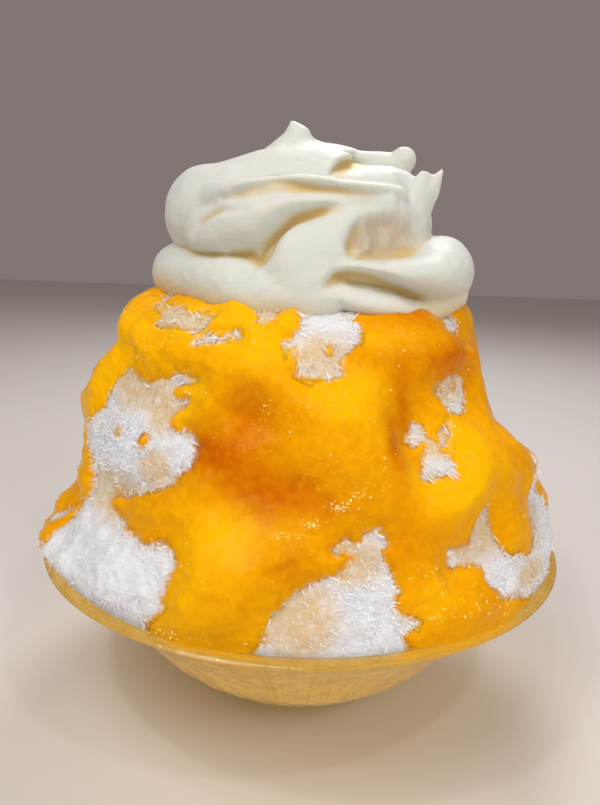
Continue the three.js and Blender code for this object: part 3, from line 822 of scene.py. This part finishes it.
bubbles = joined("sauce_bubbles", beads, ball_faces, spots, turned_at_random, np.zeros(len(spots)))

mango = Finish(
    "mango_sauce", roughness=0.1, ior=1.4, specular_ior_level=0.04, subsurface_weight=0.2,
    subsurface_radius=(1.0, 0.5, 0.05), subsurface_scale=2 * MM,
)
mango.feed("Base Color", ice_and_sauce(mango))
mango.bump(mango.noise(1.5, detail=3) + 0.35 * mango.noise(0.5), 0.2)
FROTH_PALE = (1, 0.82, 0.32)
FROTH_GOLD = (1, 0.66, 0.1)
froth = Finish("sauce_froth", roughness=0.12, ior=1.4)
froth.feed("Base Color", froth.noise(3).between(0.4, 0.6).blend(FROTH_PALE, FROTH_GOLD))
mango.on(sauce)
froth.on(bubbles)
for piece in (sauce, bubbles):
    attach(piece, "root")
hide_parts("mango_sauce")

# -------------------- whipped cream
# Soft whipped cream, spooned on in folds: rolls laid round and over a rounded heart run into one another
# with soft creases between them, and end in a drawn-up peak, a small bead and a standing flap.

HEART = (0, 5, 122)  # the middle of the cream, from which the rolls bulge
# Radius and height of the core that fills the cream behind the rolls.
HEART_OUTLINE = [(0, 104), (34, 106), (37, 119), (34, 129), (31, 140), (20, 147), (0, 151)]
# Each stop of a roll: x, y, z, half its breadth across and half its depth outwards.
ROLLS = {
    "lower_left": [(-33, 24, 123, 8, 10), (-35.3, 2, 121, 8.5, 10), (-22.2, -22, 119.6, 8.5, 9),
        (-11.3, -31, 118, 8, 8.5), (-1, -34, 117.6, 7, 7)],
    "tongue": [(16.3, -17, 139, 4, 5), (9, -24.5, 135.4, 9, 7), (5.4, -29.5, 129.2, 9.6, 8),
        (-1, -32.5, 122.5, 12, 8), (1, -34.5, 117.5, 10, 7)],
    "lower_right": [(7, -34, 124.5, 2.5, 5), (14, -34, 124.6, 3, 6.5), (22, -31, 123.8, 4, 7.5),
        (30, -24, 123.6, 6.5, 9), (35.7, -8, 124, 9.5, 9), (37, 10, 123, 9.5, 10), (34, 26, 123.3, 9, 10)],
    "under_lobe": [(7, -34, 118.8, 3, 5), (17, -32.5, 117.9, 3.4, 5.5), (27, -25, 115.2, 4, 5.5)],
    "lower_back": [(34.6, 24, 123, 9, 10), (22, 33, 120.6, 8, 9.5), (7, 36.5, 123, 9.5, 11),
        (-9, 36, 120.6, 7.5, 9.5), (-22, 31, 123.6, 9.5, 11), (-33, 24, 123, 8, 10)],
    "back_fold": [(-15, 29, 127, 3.5, 6), (-2, 32, 131, 5, 7.5), (12, 28, 133.5, 5, 7.5),
        (23, 18, 138, 4, 6)],
    "lip": [(35.4, -14, 118.5, 5, 7), (28.8, -27, 115.6, 3.2, 5.5), (19.8, -34.5, 116.4, 3.2, 5.5),
        (12.5, -36, 117.5, 3.2, 5.5), (6.4, -36, 119.4, 2.4, 4)],
    "dome": [(-27.5, 14, 137.5, 13, 13), (-27.5, -4, 137.5, 13, 12.5), (-19, -14, 139, 12, 10)],
    "belly": [(-25.5, -2, 131.3, 7, 8), (-24.5, -14, 131.8, 8, 8.5), (-19.8, -22, 133, 8.5, 8),
        (-12, -27, 134.8, 7, 8), (-2.8, -28, 138.3, 3.6, 6), (8, -26, 140, 2.6, 5), (19, -20, 140, 1.6, 4)],
    "band": [(-30, 4, 139.5, 8, 9), (-23.3, -14, 139, 6, 8), (-13.8, -24, 140.7, 4, 7),
        (-1.8, -26, 142, 3.6, 6), (9.2, -24, 141.7, 3, 6), (21.4, -16, 142, 2.5, 4)],
    "upper_left": [(-30, 10, 138, 10.5, 10), (-26.6, -4, 139.6, 10.5, 10), (-16.3, -12, 143.6, 11, 8),
        (-3.4, -13, 147, 11, 7), (9.5, -13, 146.4, 9, 5.5), (23.9, -10, 146, 5, 3.5)],
    "upper_back": [(-30.4, 10, 138, 11, 10), (-17, 21, 136.4, 9.5, 9), (-2, 24, 140, 10.5, 11),
        (13, 22, 137.6, 8.5, 9.5), (27, 8, 138, 9, 7), (25, -4, 138, 7, 5)],
    "shelf": [(-5.3, -16, 147, 6, 4), (6.8, -20, 145.4, 6, 3.5), (16, -16, 145.3, 6, 4),
        (21.5, -11, 146, 4, 3.5)],
    "ridge": [(-16.2, 2, 146.4, 10, 6), (-3.8, 2, 150.4, 8, 6), (8.7, 3, 151.6, 6, 4),
        (20.6, 2, 151.4, 6, 4)],
    "peak": [(-4, 0, 147, 26, 12), (-4.5, -1, 152, 18, 9), (-5, -2, 155.6, 10.5, 6.5),
        (-5, -2.8, 158.6, 4.8, 4), (-6.1, -3, 161.6, 0.8, 0.8)],
    "nub": [(23.2, -1, 150, 3, 3), (24.5, 0, 153.3, 3.6, 3.6)],
    "flap": [(25.5, -16, 131, 4, 3), (27.2, -13.5, 138, 4.6, 2.6), (28.8, -11.8, 143.5, 4.6, 2),
        (30.2, -10.4, 147.8, 4.2, 1.4)],
    "flap_corner": [(31, -11, 144, 2.6, 1.6), (32.3, -10.4, 147.4, 1.8, 1.3), (33.6, -9.8, 150, 0.9, 0.8)],
}
# Folds cut into the front: x and z along the fold, how wide it fades up and down, and its depth.
FOLDS = {
    "under_belly": ([(-20, 127.4), (-15.5, 126.3), (-12, 125.6), (-9.8, 128), (-8, 131.5), (-5, 134.9),
        (-0.5, 136.8), (5.5, 138.2), (10, 138.7)], 3, 0.9, 3.4),
    "dome_crease": ([(-30.2, 131), (-28.7, 133.6), (-26.6, 135.6), (-23.8, 137.2), (-21, 137.9),
        (-14, 138.2)], 1.8, 1, 1.9),
    "under_ridge": ([(-24, 140.2), (-18, 142), (-12.5, 143.9), (-8.5, 144.6), (-4.6, 144.4), (1.3, 143.8),
        (8.8, 143.5), (15, 143.1), (20, 142.9)], 1.1, 2.8, 2.5),
    "lobe_seam": ([(-36, 128), (-31, 127.2), (-26.3, 127), (-21, 127.4), (-16, 126.2)], 1.2, 1.4, 1.5),
    "curl_hollow": ([(4, 146.6), (6, 149.4), (9.2, 151.6), (14.4, 152.6), (20, 152.2)], 0.8, 4, 4.2),
    "pocket": ([(13, 137.4), (10.6, 134.3), (9.4, 131.4), (9, 129.1), (10, 127.4)], 4, 0.9, 2),
    "under_lobe": ([(3.6, 119.8), (5, 122.8), (9, 124.3), (14, 124), (19, 122.7), (26, 119.5),
        (32, 114.6)], 0.9, 2.8, 3.6),
    "under_belly_left": ([(-23, 127), (-18, 127.2), (-13.5, 126.4), (-10, 125.4)], 3, 0.9, 2.2),
    "pocket_foot": ([(10.4, 127.4), (13.8, 128), (20.5, 128.5), (27, 129.2)], 1.6, 0.6, 0.8),
    "wrinkle_a": ([(-18.6, 121.8), (-16.6, 123.6), (-14, 123.8)], 0.5, 0.7, 0.6),
    "wrinkle_b": ([(-16, 119.6), (-14.6, 122), (-12.4, 123.2)], 0.5, 0.7, 0.7),
    "wrinkle_c": ([(-9.8, 118.4), (-8.6, 120.6), (-6.4, 122)], 0.5, 0.7, 0.5),
}
ROLL_SIDES = 32
ROLL_STEPS = 40
END_RINGS = 8
CREAM_VOXEL = 0.6
FOLD_POINTS = 25
POCKET = (18, 133, 10.5, 6.5)  # the wet pocket beside the flap: x, z, half-width and half-height
POCKET_DEPTH = 2.2
GOLDEN_LINE_HEIGHT = 128.6  # height of the golden line painted along the foot of the pocket, in the fold shade


def roll(name, stops):
    """A sheet rolled into an oval tube along a smooth path, rounded at both ends."""
    rings = ROLL_STEPS + 2 * END_RINGS
    piece, around, up = sheet(name, ROLL_SIDES, rings)
    up, turn = up * rings, 2 * math.pi * around
    share = np.clip((up - END_RINGS) / ROLL_STEPS, 0, 1)
    slide = np.clip(up / END_RINGS, 0, 1) - 1 + np.clip((up - rings + END_RINGS) / END_RINGS, 0, 1)
    slide = np.sin(slide * math.pi / 2)
    stops = np.array(stops, float)
    middle, ahead = smooth_through(stops[:, :3], share)
    size = smooth_through(stops[:, 3:], share)[0]
    middle = middle + ahead * (slide * size.min(1))[:, None]
    out = middle - HEART
    out = unit(out - ahead * (out * ahead).sum(1, keepdims=True))
    across = np.cross(out, ahead)
    size = size * np.sqrt(np.maximum(1 - slide**2, 0))[:, None]
    edge = across * (size[:, 0] * np.cos(turn))[:, None] + out * (size[:, 1] * np.sin(turn))[:, None]
    roll_up(piece, middle + edge)
    return piece


def fold_depth(points):
    """How deep the folds cut into each point from the front, in millimetres; below 0 it stands proud."""
    depth = np.zeros(len(points))
    for path, above, below, deep in FOLDS.values():
        line = smooth_through(path, np.linspace(0, 1, FOLD_POINTS))[0]
        edge = np.diff(line, axis=0)
        from_start = points[:, None, ::2] - line[:-1]
        along = np.clip((from_start * edge).sum(-1) / (edge**2).sum(-1), 0, 1)
        gap = np.linalg.norm(from_start - along[..., None] * edge, axis=-1)
        nearest = gap.argmin(1)
        row = np.arange(len(points))
        gap, along, from_start = (each[row, nearest] for each in (gap, along, from_start))
        edge = edge[nearest]
        is_above = edge[:, 0] * from_start[:, 1] > edge[:, 1] * from_start[:, 0]
        taper = np.sin(math.pi * np.clip((nearest + along) / (FOLD_POINTS - 1), 0, 1)) ** 0.8
        cut = deep * np.exp(-((gap / np.where(is_above, above, below)) ** 2))
        lip = 0.04 * deep * np.exp(-((gap / (above if above < 2 else 1) - 2.4) ** 2)) * is_above
        depth = np.where(np.abs(cut - lip) * taper > np.abs(depth), (cut - lip) * taper, depth)
    further_back = 8 * step(points[:, 2], 147, 150)
    return depth * step(further_back - points[:, 1], 4, 12)


rolls = [roll(name, stops) for name, stops in ROLLS.items()]
cream, across, up = sheet("cream_dollop", 64, 48)
line = smooth_through(HEART_OUTLINE, up)[0]
roll_up(cream, round_points(360 * across, *line.T))
bpy.ops.object.select_all(action="DESELECT")
for piece in (*rolls, cream):
    piece.select_set(True)
bpy.context.view_layer.objects.active = cream
bpy.ops.object.join()
apply(cream, "REMESH", mode="VOXEL", voxel_size=CREAM_VOXEL * MM)
apply(cream, "SMOOTH", factor=0.5, iterations=7)


def neighbours_mean(piece, values, times):
    """Each vertex's value averaged with its neighbours', the given number of times."""
    ends = np.empty(2 * len(piece.data.edges), np.int32)
    piece.data.edges.foreach_get("vertices", ends)
    a, b = ends.reshape(-1, 2).T
    both, other = np.concatenate([a, b]), np.concatenate([b, a])
    share = np.bincount(both, minlength=len(values)).clip(1)
    for _ in range(times):
        summed = [np.bincount(both, v[other], len(values)) for v in values.T]
        values = 0.5 * values + 0.5 * np.stack(summed, -1) / share[:, None]
    return values


points = places(cream)
peak_foot = step(points[:, 2], 148, 151) * (1 - step(points[:, 2], 157.5, 160))
peak_foot *= 1 - step(points[:, 0], 8, 13)
points += peak_foot[:, None] * (neighbours_mean(cream, points, 60) - points)
inwards = unit((HEART - points) * (1, 1, 0.25))
front = step(-points[:, 1], 4, 12)
across_pocket = points[:, 0] - POCKET[0] - 0.3 * (points[:, 2] - 132)
pocket = np.hypot(across_pocket / POCKET[2], (points[:, 2] - POCKET[1]) / POCKET[3])
cut = fold_depth(points) + POCKET_DEPTH * (1 - step(pocket, 0.3, 1.2)) * front
wobble = 0.4 * grain(points, 11, 1.3) + 0.15 * grain(points, 4, 2.9)
wobble += 1.5 * step(points[:, 1], 4, 16) * grain(points, 19, 5.1)
place(cream, points + inwards * cut[:, None] + read(cream, "normal") * wobble[:, None])
apply(cream, "SMOOTH", factor=0.5, iterations=3)
points = places(cream)
# The creases are painted in a golden shade: from how hollow each spot is, how deep the folds cut, and a
# golden line along the foot of the pocket.
hollow = ((neighbours_mean(cream, points, 60) - points) * read(cream, "normal")).sum(1)
from_pocket = points[:, 0] - POCKET[0]
golden_line = np.exp(-(((points[:, 2] - GOLDEN_LINE_HEIGHT - 0.1 * from_pocket) / 1.2) ** 2)) * front
golden_line *= 1 - step(np.abs(from_pocket), 6, 10)
wear(cream, "fold", hollow + 0.3 * np.maximum(cut, 0) + golden_line)
wet_pocket = (1 - step(pocket, 0.4, 1.2)) * front
wear(cream, "wet", wet_pocket)
# The foot of the cream beside the sauce gets painted light: a warm glow bounced up from the sauce.
foot = points[:, 2] - 0.12 * (np.abs(points[:, 0] - 8) - 20)
near_sauce = 1 - step(foot, ICE_TOP - 5, ICE_TOP + 3)
wear(cream, "painted_glow", near_sauce)

CREAM_WHITE = (0.66, 0.69, 0.63)
# Painted shade of the folds.
CREAM_FOLD_SHADE = (0.64, 0.48, 0.21)
CREAM_WET = (0.56, 0.47, 0.37)
# Painted light bounced from the sauce.
PAINTED_SAUCE_BOUNCE = (0.72, 0.55, 0.25)
whipped = Finish(
    "whipped_cream", ior=1.4, specular_ior_level=0.08, subsurface_weight=0.5,
    subsurface_radius=(1.0, 0.8, 0.5), subsurface_scale=2 * MM,
)
# The folds and hollows are painted in golden shade.
fold_shaded = whipped.worn("fold").between(0.1, 1.6).blend(CREAM_WHITE, CREAM_FOLD_SHADE)
# Painted light bounced from the sauce warms the foot of the cream.
lit = (whipped.worn("painted_glow") * 0.7).blend(fold_shaded, PAINTED_SAUCE_BOUNCE)
trickles = whipped.noise(2.6, detail=3, spot=whipped.stretched((1, 1, 0.4), (0, 0.2, 0))).between(0.35, 0.6)
watery = whipped.worn("wet") * (0.25 + trickles * 0.75)
whipped.feed("Base Color", watery.blend(lit, CREAM_WET))
whipped.feed("Roughness", 0.38 - whipped.worn("wet") * 0.28)
drawn_out = whipped.noise(2.4, detail=3, spot=whipped.stretched((0.25, 0.5, 1), (0, 0.35, 0)))
whipped.bump(whipped.noise(2.5, detail=3) + drawn_out * 1.5, 0.2)
whipped.on(cream)
bpy.context.view_layer.objects.active = cream
bpy.ops.object.shade_smooth()
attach(cream, "root")
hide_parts("whipped_cream")

# -------------------- table, light and camera
# A plain pale table in an evenly lit grey room, with a large soft light over the left shoulder, weaker ones
# from the right, behind and low in front, three small ones that glint in the glass and on the ice, and a
# camera close in front, a little above the bowl.

bpy.ops.mesh.primitive_plane_add(size=3)
table = added("table")
TABLE_TOP = (0.70, 0.67, 0.64, 1)
ROOM_GREY = (0.22, 0.18, 0.175, 1)
plain = Finish("pale_table", base_color=TABLE_TOP, roughness=0.6)
plain.on(table)

world = bpy.data.worlds.new("room")
world.use_nodes = True
world.node_tree.nodes["Background"].inputs["Color"].default_value = ROOM_GREY
world.node_tree.nodes["Background"].inputs["Strength"].default_value = 1.0
bpy.context.scene.world = world
bpy.context.scene.view_settings.view_transform = "Standard"


def lamp(name, spot, target, size, watts, tint, glints):
    """A soft rectangular light that faces its target, in metres; glints says whether it is mirrored."""
    light = bpy.data.lights.new(name, "AREA")
    light.shape = "RECTANGLE"
    light.size, light.size_y, light.energy, light.color = *size, watts, tint
    placed = bpy.data.objects.new(name, light)
    placed.location = spot
    placed.visible_glossy = glints
    placed.visible_camera = False
    placed.rotation_euler = (Vector(target) - Vector(spot)).to_track_quat("-Z", "Y").to_euler()
    bpy.context.scene.collection.objects.link(placed)


lamp("key", (-0.3, -0.35, 0.75), (0, 0, 0.08), (0.5, 0.5), 3.05, (1, 0.98, 0.96), True)
lamp("fill", (0.6, -0.5, 0.4), (0, 0, 0.08), (0.6, 0.6), 1.3, (1, 0.97, 0.94), False)
lamp("back", (0.1, 0.5, 0.6), (0, 0, 0.1), (0.3, 0.3), 2.2, (1, 1, 1), True)
lamp("low", (0, -0.7, 0.1), (0, 0, 0.03), (0.4, 0.15), 0.5, (1, 0.95, 0.85), False)
lamp("glint_left", (-0.22, -0.25, 0.6), (0, 0, 0.08), (0.03, 0.03), 0.35, (1, 0.98, 0.95), True)
lamp("glint_right", (0.2, -0.3, 0.55), (0, 0, 0.08), (0.03, 0.03), 0.3, (1, 0.98, 0.95), True)
lamp("window", (0.3, -0.45, 0.5), (0, 0, 0.06), (0.4, 0.1), 0.7, (1, 0.98, 0.95), True)

CAMERA_PLACE = (0, -0.2023, 0.133)
DOWN, ROLL, YAW = (math.radians(a) for a in (13.62, 1.92, -0.42))
FOCAL_PIXELS = 700
FRAME_HEIGHT = 805
ahead = Vector((math.sin(YAW) * math.cos(DOWN), math.cos(YAW) * math.cos(DOWN), -math.sin(DOWN)))
level = Vector((math.cos(YAW), -math.sin(YAW), 0))
right = level * math.cos(ROLL) + level.cross(ahead) * math.sin(ROLL)
above = right.cross(ahead)
camera = bpy.data.objects.new("camera", bpy.data.cameras.new("camera"))
camera.data.sensor_width = 36
camera.data.lens = 36 * FOCAL_PIXELS / FRAME_HEIGHT
camera.data.clip_start = 0.01
camera.matrix_world = Matrix.Translation(CAMERA_PLACE) @ Matrix((right, above, -ahead)).transposed().to_4x4()
bpy.context.scene.collection.objects.link(camera)
bpy.context.scene.camera = camera
